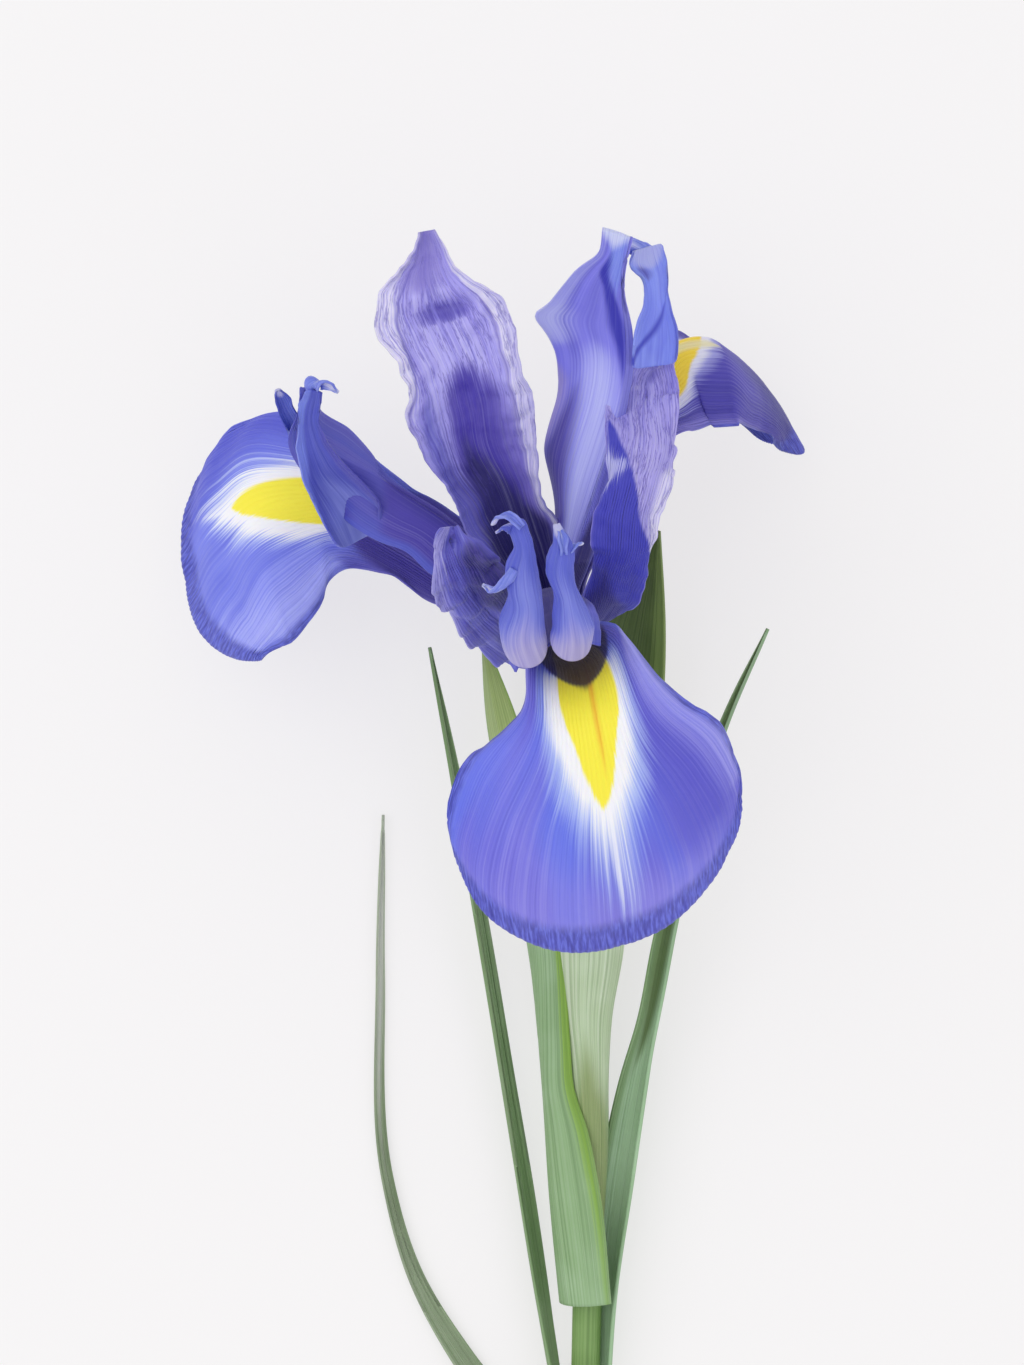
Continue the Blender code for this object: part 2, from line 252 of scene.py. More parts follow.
def add_grid(mesh, places, shares, matrix, side=1):
    """Adds a grid of places to a mesh, and returns its points row by row. Side -1 turns its faces over."""
    coordinates = mesh.loops.layers.uv["petal"]
    rows, columns = places.shape[:2]
    vertices = [mesh.verts.new(matrix @ Vector(place)) for place in places.reshape(-1, 3)]
    flat = shares.reshape(-1, 2)
    for row in range(rows - 1):
        for column in range(columns - 1):
            first = row * columns + column
            corners = (first, first + columns, first + columns + 1, first + 1)[::side]
            face = mesh.faces.new([vertices[i] for i in corners])
            face.smooth = True
            for loop, i in zip(face.loops, corners):
                loop[coordinates].uv = flat[i]
    return vertices


def in_metres(name, mesh):
    """The finished mesh, its grids joined where their edges meet, from millimetres to metres."""
    bmesh.ops.remove_doubles(mesh, verts=mesh.verts, dist=WELD)
    made = bpy.data.meshes.new(name)
    mesh.to_mesh(made)
    mesh.free()
    made.transform(Matrix.Scale(MM, 4))
    return made


def add_object(name, data):
    made = bpy.data.objects.new(name, data)
    bpy.context.scene.collection.objects.link(made)
    return made


def add_piece(name, mesh, material, nodes):
    """A piece that stands for CAD nodes and rides on the root body."""
    mesh.materials.append(material)
    piece = add_object(name, mesh)
    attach(piece, "root")
    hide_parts(*nodes)
    return piece


def add_sheets(name, sheets, material, matrix, node):
    """Sheets as one solid of even thickness."""
    mesh = new_grids()
    for sheet in sheets:
        add_grid(mesh, *sheet_grid(sheet), matrix, sheet.side)
    piece = add_piece(name, in_metres(name, mesh), material, [node])
    solidify = piece.modifiers.new("thickness", "SOLIDIFY")
    solidify.thickness = sheets[0].thickness * MM
    solidify.offset = 0.0


def turned(azimuth):
    """The flower's frame, turned to an organ's azimuth."""
    return FLOWER @ Matrix.Rotation(math.radians(azimuth), 4, "Z")


# ---------------------------------------------------------------------------- materials


def set_sockets(node, values):
    for socket, value in values.items():
        node.inputs[socket].default_value = value


class Surface:
    """A material under construction, with short calls for the nodes that paint it."""

    def __init__(self, name, finish):
        self.material = bpy.data.materials.new(name)
        self.material.use_nodes = True
        self.nodes = self.material.node_tree.nodes
        self.links = self.material.node_tree.links
        self.shader = self.nodes["Principled BSDF"]
        set_sockets(self.shader, finish)
        grid = self.nodes.new("ShaderNodeUVMap")
        grid.uv_map = "petal"
        parts = self.nodes.new("ShaderNodeSeparateXYZ")
        self.links.new(grid.outputs[0], parts.inputs[0])
        self.u = parts.outputs[0]
        self.v = self.math("MULTIPLY_ADD", parts.outputs[1], 2.0, -1.0)
        self.far = self.math("ABSOLUTE", self.v)

    def give(self, socket, value):
        """Links a socket to another, or sets its number or colour."""
        if isinstance(value, bpy.types.NodeSocket):
            self.links.new(value, socket)
        else:
            socket.default_value = value

    def math(self, operation, *values):
        node = self.nodes.new("ShaderNodeMath")
        node.operation = operation
        for socket, value in zip(node.inputs, values):
            self.give(socket, value)
        return node.outputs[0]

    def step(self, start, end, x):
        """0 where x is start or less, 1 where it is end or more, or the other way about."""
        node = self.nodes.new("ShaderNodeMapRange")
        node.interpolation_type = "SMOOTHSTEP"
        for socket, value in zip(node.inputs, (x, start, end, 0.0, 1.0)):
            self.give(socket, value)
        return node.outputs[0]

    def curve(self, x, rows):
        """The value, -1 to 1, over x of the smooth curve through rows of (x, value)."""
        node = self.nodes.new("ShaderNodeFloatCurve")
        points = node.mapping.curves[0].points
        while len(points) < len(rows):
            points.new(0.5, 0.5)
        for point, (place, value) in zip(points, rows):
            point.location = (place, (value + 1) / 2)
            point.handle_type = "AUTO_CLAMPED"
        node.mapping.update()
        self.links.new(x, node.inputs["Value"])
        return self.math("MULTIPLY_ADD", node.outputs[0], 2.0, -1.0)

    def paint(self, colour, mark, streak):
        """The colour with a mark laid over it, its edge carried along the streaks."""
        middle = self.curve(self.u, [(along / 100, middle / 100) for along, middle, _ in mark.rows])
        half = self.curve(self.u, [(along / 100, half / 100) for along, _, half in mark.rows])
        off_middle = self.math("ABSOLUTE", self.math("SUBTRACT", self.v, middle))
        carried = self.math("MULTIPLY_ADD", streak, mark.ragged, -0.5 * mark.ragged)
        inside = self.math("ADD", self.math("SUBTRACT", half, off_middle), carried)
        share = self.step(-mark.soft, mark.soft, inside)
        return self.mix(self.math("MULTIPLY", share, mark.strength), colour, mark.colour)

    def vector(self, along, across, third=0.0):
        """The shares along and across, each multiplied, as a place for a texture."""
        node = self.nodes.new("ShaderNodeCombineXYZ")
        self.links.new(self.math("MULTIPLY", self.u, along), node.inputs[0])
        self.links.new(self.math("MULTIPLY", self.v, across), node.inputs[1])
        node.inputs[2].default_value = third
        return node.outputs[0]

    def noise(self, place, scale=1.0, detail=3.0, roughness=0.55):
        node = self.nodes.new("ShaderNodeTexNoise")
        node.inputs["Scale"].default_value = scale
        node.inputs["Detail"].default_value = detail
        node.inputs["Roughness"].default_value = roughness
        self.links.new(place, node.inputs["Vector"])
        return node.outputs[0]

    def place(self):
        """The place in the object, in metres."""
        return self.nodes.new("ShaderNodeTexCoord").outputs["Object"]

    def ramp(self, x, *stops):
        """The colour at x of a ramp through stops of (place, colour)."""
        node = self.nodes.new("ShaderNodeValToRGB")
        elements = node.color_ramp.elements
        while len(elements) < len(stops):
            elements.new(0.5)
        for element, (spot, colour) in zip(elements, stops):
            element.position = spot
            element.color = rgb(colour)
        self.links.new(x, node.inputs[0])
        return node.outputs[0]

    def mix(self, factor, first, second, blend="MIX"):
        node = self.nodes.new("ShaderNodeMix")
        node.data_type = "RGBA"
        node.blend_type = blend
        self.give(node.inputs[0], factor)
        self.give(node.inputs[6], rgb(first) if isinstance(first, str) else first)
        self.give(node.inputs[7], rgb(second) if isinstance(second, str) else second)
        return node.outputs[2]

    def finish(self, colour, roughness=None, height=None, depth=0.0001):
        """Connects the colour, the roughness and the fine relief to the shader."""
        self.links.new(colour, self.shader.inputs["Base Color"])
        if roughness is not None:
            self.links.new(roughness, self.shader.inputs["Roughness"])
        if height is not None:
            bump = self.nodes.new("ShaderNodeBump")
            bump.inputs["Distance"].default_value = depth
            self.links.new(height, bump.inputs["Height"])
            self.links.new(bump.outputs[0], self.shader.inputs["Normal"])
        return self.material


@dataclass
class Mark:
    """A coloured area of a sheet: its middle and half its breadth, at places along the sheet."""

    colour: str
    rows: tuple  # of (along, middle, half) in percent; there is no area where a half is below 0
    soft: float = 0.1  # breadth over which its edge fades to each side
    ragged: float = 1.0  # how far the streaks carry its edge
    strength: float = 1.0


def rgb(code):
    """The linear colour of a six-digit sRGB code."""
    values = [int(code[i : i + 2], 16) / 255 for i in (0, 2, 4)]
    return (*[v / 12.92 if v <= 0.04045 else ((v + 0.055) / 1.055) ** 2.4 for v in values], 1.0)


PETAL_FINISH = {
    "Roughness": 0.55,
    "Subsurface Weight": 0.25,
    "Subsurface Radius": (0.5, 0.4, 0.9),
    "Subsurface Scale": 0.0006,
    "Sheen Weight": 0.12,
    "Sheen Roughness": 0.4,
}
GREEN_FINISH = {
    "Roughness": 0.5,
    "Subsurface Weight": 0.1,
    "Subsurface Radius": (0.4, 0.8, 0.3),
    "Subsurface Scale": 0.0006,
}


def petal_surface(name, tones, tints=(), marks=(), veins=(40.0, 0.5), rim=0.0, wrinkle_shade=0.0):
    """Two tones in soft patches under tints, fine veins, and markings. A rim is a darker pleated border,
    and thin violet lines of painted shade, as in creases, wander along the petal."""
    s = Surface(name + "_skin", PETAL_FINISH)
    count, strength = veins
    patch = s.noise(s.vector(2.5, 3.0, 9.0), detail=1.0)
    fine = s.noise(s.vector(1.6, count, 1.0), detail=3.0, roughness=0.55)
    broad = s.noise(s.vector(1.2, count / 5, 2.0), detail=2.0)
    streak = s.math("MULTIPLY_ADD", broad, 0.3, s.math("MULTIPLY", fine, 0.7))
    colour = s.mix(s.step(0.38, 0.62, patch), *tones)
    for tint in tints:
        colour = s.paint(colour, tint, streak)
    veined = s.ramp(streak, (0.36, "8E88D8"), (0.47, "DCDAF6"), (0.56, "FFFFFF"))
    colour = s.mix(strength, colour, veined, "MULTIPLY")
    colour = s.mix(s.math("MULTIPLY", s.step(0.52, 0.68, streak), 0.3 * strength), colour, "DCDCFC")
    # Painted shade: thin violet lines, as in creases, beyond the petal's foot.
    if wrinkle_shade:
        wrinkle_noise = s.noise(s.vector(5.0, 6.5, 11.0), detail=5.0, roughness=0.65)
        line = s.step(0.035, 0.0, s.math("ABSOLUTE", s.math("SUBTRACT", wrinkle_noise, 0.5)))
        share = s.math("MULTIPLY", line, s.step(0.25, 0.6, s.u))
        colour = s.mix(s.math("MULTIPLY", share, wrinkle_shade), colour, "5A4CB0")
    for mark in marks:
        colour = s.paint(colour, mark, streak)
    if rim:
        sides = s.math("MULTIPLY", s.step(0.885, 0.95, s.far), s.step(0.5, 0.65, s.u))
        border = s.math("MAXIMUM", s.step(0.92, 0.96, s.u), sides)
        pleat = s.noise(s.vector(26.0, 70.0, 5.0), detail=2.0)
        pleated = s.ramp(pleat, (0.36, "2E309C"), (0.5, "464CBC"), (0.62, "646EDA"))
        colour = s.mix(s.math("MULTIPLY", border, rim), colour, pleated)
    return s.finish(colour, height=streak, depth=0.00012)


def green_surface(name, tones, marks=(), ribs=26.0):
    """Two greens in soft clouds with fine ribs along them, and a bloom of speckled roughness that dulls the
    gloss.
    """
    s = Surface(name + "_skin", GREEN_FINISH)
    rib = s.noise(s.vector(1.5, ribs, 2.0), detail=3.0)
    cloud = s.noise(s.place(), scale=70.0, detail=2.0)
    colour = s.mix(s.step(0.35, 0.65, cloud), *tones)
    for mark in marks:
        colour = s.paint(colour, mark, rib)
    ribbed = s.ramp(rib, (0.36, "A8BC98"), (0.5, "E6F0DC"), (0.62, "FFFFFF"))
    colour = s.mix(0.6, colour, ribbed, "MULTIPLY")
    speck = s.noise(s.place(), scale=900.0, detail=2.0)
    roughness = s.math("MULTIPLY_ADD", speck, 0.3, 0.35)
    return s.finish(colour, roughness, height=rib, depth=0.0002)


# ---------------------------------------------------------------------------- the flower

FALL_FOOT = (4.3, 0, 0.5)
STANDARD_FOOT = (3.8, 0, 0.5)
ARM_FOOT = (1.7, 0, 1)

# A fall's haft is a channel round the style arm, and its blade's sides bend down.
FALLS = {
    "fall_front": dict(
        azimuth=0,
        rim=1.5,
        route=(FALL_FOOT, (12, 0, 10), (25, 0, 21), (37, 0.5, 28), (46, -1, 28), (53, -3.5, 18),
               (56.5, -6, 6), (57.8, -8.8, -9)),
        edges=((0, -1.6, 1.6), (19, -4, 4), (38, -7.5, 7.5), (49, -10, 10), (58, -18, 17), (67, -22.5, 21),
               (76, -23, 21.5)),
        rise=both((0, 30), (20, 35), (38, 25), (50, 0), (60, -10), (76, -12)),
        roll=both((0, 60), (20, 70), (40, 50), (50, 0), (62, -30), (76, -35)),
    ),
    "fall_left": dict(
        azimuth=236,
        rim=1.5,
        route=(FALL_FOOT, (12, -0.5, 8), (24, -2.5, 17), (35, -3.5, 25), (44.5, -1.5, 26.5),
               (52.5, 0, 22.5), (63.5, 2.9, 13)),
        edges=((0, -1.6, 1.6), (10, -6, 4), (20, -8.9, 4.3), (40, -9.2, 6.2), (46, -9.8, 8.7),
               (52, -12, 12.4), (58, -14.6, 17), (66, -15.3, 21.3), (80, -15.5, 22)),
        rise=((0, 30, 30), (20, 37, -22), (40, 40, -20), (58, 38, -22), (66, 34, -31), (76, 33, -35)),
        roll=((0, 60, 60), (20, 60, 60), (40, 30, 40), (55, 0, 0), (76, -20, -25)),
        sweep=((0, 3, 2), (20, 1.8, 1.5), (40, 1.3, 0), (50, 1.3, -2.8), (66, -1, -2.4), (74, -2, 0),
               (80, -2, 0.8)),
    ),
    "fall_right": dict(
        azimuth=122,
        rim=0.2,
        route=(FALL_FOOT, (8, -1, 11.5), (23, -1.5, 21), (34, 0.5, 27), (41, 1.5, 28.5), (46.5, 0.5, 26.5),
               (50, -0.5, 20.5), (53.5, -2, 11), (54.8, -3.6, 3), (54.9, -5.5, -2.5)),
        edges=((0, -1.6, 1.6), (21, -3.5, 3.5), (31, -3.8, 5), (40, -5.2, 7), (45, -7.4, 8), (51, -9.8, 9),
               (58, -14.2, 10), (64, -15.8, 10), (71, -13, 9), (79, -10.5, 8.5), (90, -8.5, 6.5)),
        rise=((0, 30, 30), (21, -10, 20), (40, -15, -20), (51, -26, -45), (64, -42, -45), (86, -50, -40)),
        roll=((0, 60, 60), (31, 40, 40), (44, 10, 0), (53, -30, -50), (86, -40, -60)),
        sweep=((0, 0, 0), (25, 0, 1), (40, -1, 8), (47, -4, 9.5), (51, -6, 9.5), (58, -4, 9), (64, 0, 8.5),
               (71, 3, 8), (78, 3, 6), (86, 1, 3)),
    ),
}
FALL_LOOKS = {
    "fall_front": dict(tones=("6676EA", "706CDC"), tints=[
        Mark("5C58CE", ((50, 60, 10), (62, 55, 30), (80, 62, 28), (95, 70, 10)), 0.25, 0.8),
        Mark("7088F2", ((50, 0, 50), (68, -12, 50), (80, -15, 30), (90, -15, -30)), 0.3, 0.6, 0.25),
        Mark("938CEA", ((66, -85, 0), (78, -50, 10), (90, -10, 60), (100, 0, 90)), 0.5, 0.8, 0.6),
        Mark("A8A6F4", ((50, 100, -10), (58, 100, 30), (70, 100, 25), (86, 100, 20),
             (95, 100, -10)), 0.15, 0.4, 0.8),
        # Painted shade: the haft darkens to deep violet in the throat under the style arm.
        Mark("30247C", ((0, 0, 100), (30, 0, 100), (42, 0, 60), (50, 0, -40)), 0.3, 0),
    ], marks=[
        Mark("B4C4FA", ((46, 0, 20), (52, -3, 58), (60, -3, 56), (68, 0, 38), (76, 1, 12),
             (90, 5, -3)), 0.14, 0.55),
        Mark("F8F8FE", ((46, 0, 20), (52, -3, 50), (60, -3, 47), (66, 0, 30), (73, 1, 8),
             (86, 4, -3)), 0.09, 0.45),
        Mark("FFF040", ((40, 0, 36), (50, 1, 37), (56, 2, 35), (61, 0, 23), (66, 0, 12), (71, 0, 0),
             (74, 0, -10)), 0.02, 0.1),
        Mark("F0A822", ((40, 6, 3), (60, 6, 2), (68, 4, -3)), 0.03, 0, 0.7),
        # Painted shade over the throat: deep violet, and olive brown where the yellow signal runs into the
        # shadow under the style arm.
        Mark("2C2058", ((30, 0, 100), (42, 0, 90), (50, 0, -5), (53, 0, -40)), 0.15, 0, 0.9),
        Mark("5A4620", ((30, 0, 20), (44, 0, 30), (50, 0, 0), (53, 0, -40)), 0.15, 0, 0.8),
    ]),
    "fall_left": dict(tones=("7F8AEF", "6F7AE6"), tints=[
        Mark("5C62D4", ((62, -80, 10), (80, -70, 30), (90, -60, 30), (100, -40, 30)), 0.2, 0.8),
        Mark("B2B8FF", ((50, 90, 5), (70, 90, 30), (90, 70, 20), (100, 60, 10)), 0.25, 0.8, 0.85),
        Mark("6A66CC", ((40, 100, 40), (50, 100, 25), (58, 100, -10)), 0.2, 0.4),
        # Painted shade: the haft darkens to deep violet in the throat under the style arm.
        Mark("5044AA", ((0, 0, 100), (35, 0, 100), (50, 0, 30), (60, 0, -50)), 0.3, 0.4),
    ], marks=[
        Mark("BCC8FB", ((46, 0, -20), (52, 0, 46), (60, 0, 45), (72, -8, 28), (80, -18, 14),
             (88, -26, -3)), 0.1, 0.8),
        Mark("F8F8FE", ((46, 0, -20), (52, 0, 42), (60, 0, 40), (70, -6, 24), (79, -17, 8),
             (87, -26, -3)), 0.06, 0.6),
        Mark("FFF040", ((47, 0, -10), (51, 0, 32), (60, -1, 24), (68, -7, 14), (76, -15, 2),
             (79, -20, -10)), 0.02, 0.1),
    ]),
    # The right fall's tones are darker than the other falls': partly its own deep violet, partly painted
    # shade for a face turned away from the light.
    "fall_right": dict(tones=("5046B4", "453CA6"), tints=[
        Mark("8E86D8", ((40, -100, 30), (60, -100, 18), (80, -100, 10), (90, -100, -10)), 0.15, 0.4, 0.9),
        Mark("3A348E", ((70, 0, -10), (85, 0, 50), (100, 0, 90)), 0.4, 0.4),
    ], marks=[
        Mark("9C9CDC", ((20, 10, -40), (34, 10, 70), (50, 10, 72), (58, 10, 54), (64, 13, 28),
             (69, 24, -20)), 0.12, 0.8),
        Mark("E4E4F2", ((24, 10, -30), (36, 10, 66), (49, 10, 66), (56.5, 10, 50), (62, 14, 26),
             (67, 22, -10)), 0.08, 0.4),
        Mark("F6D83C", ((28, 10, -20), (40, 10, 50), (50, 10, 53), (56, 11, 40), (61, 16, 20),
             (65, 24, -10)), 0.03, 0.12),
        Mark("E8E0B0", ((28, 0, -10), (40, 0, 5), (62, 0, 5), (68, 0, -5)), 0.03, 0, 0.8),
    ]),
}


def add_falls():
    for name, shape in FALLS.items():
        shape = dict(shape)
        azimuth = shape.pop("azimuth")
        sheet = Sheet(
            sides_end=shape["edges"][-1][0] / 100, ruffle=(0.5, 5), pleats=0.07, veins=(0.06, 44),
            crumple=((0, 0), (60, 0.15), (100, 0.35)), cells=(120, 200), **shape,
        )
        surface = petal_surface(name, veins=(90.0, 0.3), rim=0.85, **FALL_LOOKS[name])
        add_sheets(name + "_petal", [sheet], surface, turned(azimuth), name)


# The standards stand up between the falls and close to a channel towards their feet.
STANDARDS = {  # name: azimuth, route, edges, rise, roll
    "standard_back": (
        180,
        (STANDARD_FOOT, (6, 0, 15), (9, 0, 30), (15, 0, 45), (22, -1, 56), (27.5, -3, 65)),
        ((0, -1.3, 1.3), (15, -4.8, 5), (30, -6.4, 7.2), (40, -7.2, 8), (50, -8, 10.2), (60, -10, 9.6),
         (70, -10.1, 8.7), (78, -9.8, 9.6), (85, -8.2, 9.6), (89, -5.8, 7.5), (95, -2.8, 3),
         (100, -1.6, 1.1)),
        both((0, 30), (30, 30), (60, 17), (100, 8)),
        both((0, 60), (30, 60), (60, 35), (100, 15)),
    ),
    "standard_right": (
        60,
        (STANDARD_FOOT, (5.5, -4.5, 7.5), (13, -7.5, 14), (18.5, -7, 21.5), (21.5, -5.5, 27),
         (21.5, -2, 31.5), (20.5, 4, 34.5), (20, 11, 36), (19.5, 18, 36.5), (19, 27.5, 36.5)),
        ((0, -1.3, 1.3), (15, -2.5, 2.8), (30, -5, 2.8), (47, -7, 2.2), (56, -6.8, 3.3), (63, -5.5, 5.2),
         (73, -5, 6.4), (80, -5.6, 5.4), (88, -5.8, 4.4), (95, -5, 3.8), (100, -3, 1.8)),
        ((0, 30, -60), (15, 50, -60), (30, 80, -60), (47, 84, -60), (60, 60, -50), (75, 45, -40),
         (88, 5, -20), (100, -20, 10)),
        ((0, 30, 30), (30, 50, 30), (60, 50, 40), (100, 40, 40)),
    ),
    "standard_left": (
        -60,
        (STANDARD_FOOT, (7, 0.5, 7.5), (12, 4, 19), (15, 6, 28.5), (16, 7, 35.5), (15.5, 6.5, 40),
         (14, 5.5, 42)),
        ((0, -1.3, 1.3), (8, -4.2, 3), (25, -5.2, 5), (55, -5.5, 6.3), (67, -5.2, 6.2), (79, -5, 5.8),
         (88, -4.2, 4.6), (95, -3.2, 3.6), (100, -1.4, 1.4)),
        ((0, -80, 60), (30, -86, 62), (55, -77, 62), (79, -64, 62), (100, -50, 50)),
        both((0, 60), (50, 70), (100, 50)),
    ),
}
# Folds pressed into the standards: rows of (along, across, length, breadth, height), all but the height
# as shares of the sheet.
FOLDS = {
    "standard_back": (
        (0.87, -0.1, 0.03, 0.6, 1.6), (0.825, -0.1, 0.02, 0.5, -1.2), (0.93, 0.1, 0.02, 0.4, -0.8),
    ),
    "standard_right": (
        (0.67, -0.8, 0.025, 0.25, 1.6), (0.96, 0.2, 0.03, 0.4, 1.2), (0.9, 0.4, 0.02, 0.3, -1),
    ),
    "standard_left": (
        (0.95, -0.2, 0.04, 0.5, 1), (0.7, 0.5, 0.05, 0.3, -1.2), (0.5, -0.4, 0.05, 0.4, 0.8),
    ),
}
STANDARD_LOOKS = {
    "standard_back": dict(tones=("C4BEF8", "B6AEF2"), veins=(34.0, 0.6), wrinkle_shade=0.55, tints=[
        Mark("8478D0", ((0, 0, 100), (30, 0, 90), (50, -20, 60), (62, -10, 40), (72, 0, -20)), 0.25, 1.2),
        Mark("6A68C6", ((0, 70, 40), (30, 70, 40), (50, 75, 25), (62, 70, 10),
             (70, 60, -20)), 0.15, 0.8, 0.9),
        Mark("4C3BB0", ((0, 0, 60), (35, 5, 50), (55, 2, 40), (63, 0, 34), (71, 0, -10)), 0.2, 1.6),
        Mark("2C2472", ((0, 0, 100), (25, 0, 90), (35, 10, 50), (46, 18, 24), (58, 20, -20)), 0.2, 0.6),
        # The two tints below paint the thin margins paler: painted light shining through them.
        Mark("E4E0F8", ((25, -100, 10), (40, -100, 25), (60, -100, 30), (80, -100, 25),
             (100, -100, 10)), 0.1, 0.4, 0.9),
        Mark("E8E4FA", ((55, 100, -5), (65, 100, 8), (72, 100, 20), (84, 100, 35),
             (100, 100, 10)), 0.1, 0.4, 0.9),
    ], marks=[
        # Painted shade in the fold across the crumpled tip: a dark band, and darker lilac over the folded
        # tip.
        Mark("5244B4", ((79, -10, -20), (81.5, -12, 36), (83.5, -10, 20), (85.5, -10, -20)), 0.2, 2.2, 0.8),
        Mark("8478CC", ((86, 0, -40), (90, 10, 50), (100, 0, 80)), 0.4, 2.0, 0.75),
        Mark("6E62C0", ((28, -85, 2), (40, -75, 2), (60, -70, 2), (80, -75, 2),
             (90, -80, -10)), 0.03, 0, 0.7),
        Mark("6055B8", ((55, 100, 2), (65, 92, 2), (72, 80, 2), (84, 65, 2), (92, 50, 2),
             (97, 60, -10)), 0.04, 0, 0.75),
    ]),
    "standard_right": dict(tones=("B8B0EC", "A8A0E6"), veins=(30.0, 0.5), wrinkle_shade=0.7, tints=[
        # Painted light: the thin margin is painted paler, as if light shines through it.
        Mark("E2DEF6", ((40, 100, -10), (50, 100, 30), (62, 100, 35), (70, 100, -10)), 0.2, 0.4, 0.9),
    ], marks=[
        # The deep blue wedge is partly the petal's deeper outer face, partly painted shade where the folded
        # near half lies over the far half and lets less light through.
        Mark("4040BC", ((0, 0, 100), (45, 0, 100), (50, -12, 87), (55, -30, 70), (60, -42, 57),
             (65, -58, 43), (70, -72, 25), (76, -90, 2), (80, -100, -20)), 0.06, 0.32),
        Mark("2C2680", ((0, 0, 100), (28, 0, 90), (36, -30, 30), (48, -50, -30)), 0.3, 0.4, 0.85),
        Mark("C4C4F2", ((62, -85, -10), (65, -80, 20), (67, -75, 30), (69, -80, 10),
             (71, -80, -10)), 0.15, 2.5, 0.9),
        Mark("5A4EAE", ((88, 30, -30), (93, 50, 30), (99, 70, 20)), 0.25, 1.6, 0.6),
    ]),
    "standard_left": dict(tones=("7A78DA", "6260C2"), veins=(24.0, 0.5), wrinkle_shade=0.6, tints=[
        # Painted light: the thin margin is painted paler, as if light shines through it.
        Mark("B4B0E6", ((40, -100, 2), (60, -100, 15), (90, -90, 30), (100, -60, 30)), 0.15, 0.8, 0.8),
        Mark("2A2278", ((40, 90, -10), (55, 60, 50), (70, 50, 60), (86, 50, 50),
             (96, 60, -10)), 0.25, 0.8, 0.9),
        Mark("4E4AA6", ((0, 0, 100), (25, 0, 70), (50, 0, -20)), 0.3, 0.4, 0.9),
    ]),
}


def add_standards():
    for name, (azimuth, route, edges, rise, roll) in STANDARDS.items():
        sheet = Sheet(
            route, edges, rise=rise, roll=roll, ruffle=(1.2, 4), veins=(0.05, 26),
            crumple=((0, 0), (30, 0.4), (60, 1), (100, 1.6)), crumple_size=4.0, bumps=FOLDS[name],
            cells=(160, 110),
        )
        surface = petal_surface(name, **STANDARD_LOOKS[name])
        add_sheets(name + "_petal", [sheet], surface, turned(azimuth), name)


# Each arm is a keeled roof over its fall's haft. A half of it runs from the keel to its free margin.
ARM_HALF = dict(
    edges=((0, 1.2), (30, 3.5), (60, 5.5), (85, 7.5), (100, 7)),
    rise=((0, -30), (60, -30), (100, -20)),
    roll=((0, -50), (100, -50)),
)
STYLE_ARMS = {  # name: azimuth, route of the keel, first half, second half
    "style_arm_front": (
        0,
        (ARM_FOOT, (6, 0, 13), (14, 0, 25), (24, -0.5, 33), (33, -1.5, 36.5), (38.5, -2.2, 37.5)),
        ARM_HALF,
        ARM_HALF,
    ),
    "style_arm_left": (
        243,
        (ARM_FOOT, (4.8, -0.2, 13), (8, -0.6, 21), (12, -0.7, 27.5), (16.5, -0.9, 33), (20.5, -1.1, 38),
         (25, -1.6, 41.5), (27.8, -1.8, 45.5), (27, -1.6, 51), (25.2, -0.6, 57.5)),
        dict(
            edges=((0, 1.2), (25, 2), (45, 2.6), (63, 3), (68, 5.3), (73, 7.2), (80, 6.3), (90, 3),
                   (100, 1)),
            rise=((0, -20), (60, -20), (75, -8), (100, 0)),
            roll=((0, -40), (60, -20), (100, 20)),
        ),
        dict(
            edges=((0, 1.2), (25, 5), (37, 7.8), (48, 7.4), (54, 8.4), (62, 9), (72, 8), (80, 5), (90, 2),
                   (100, 1)),
            rise=((0, -50), (37, -55), (54, -60), (72, -75), (100, -75)),
            roll=((0, -40), (60, -50), (100, 0)),
        ),
    ),
    "style_arm_right": (
        124,
        (ARM_FOOT, (2.6, -2, 10), (5, -5, 19), (10, -8, 28.5), (15.5, -9, 35), (20, -9, 39.5),
         (23, -8.6, 43), (26, -8, 49), (27.6, -8, 55.5), (28.6, -8.8, 59.5), (31, -9.5, 64)),
        dict(
            edges=((0, 1.2), (25, 3.5), (45, 2.5), (60, 1.2), (71, 1.2), (78, 1), (84, 0.5), (100, 0.4)),
            rise=((0, -60), (100, -40)),
            roll=((0, -20), (100, -20)),
        ),
        dict(
            edges=((0, 1.2), (15, 4.5), (28, 8), (39, 12.5), (49, 14), (61, 14.1), (67, 13.9), (74, 15),
                   (77, 15.8), (82, 12.3), (90, 6.6), (94, 4.4), (100, 4.4)),
            rise=((0, -30), (28, -24), (40, -12), (60, -9), (70, 2), (77, 12), (100, 20)),
            roll=((0, -40), (40, -25), (60, -15), (80, 20), (100, 20)),
        ),
    ),
}
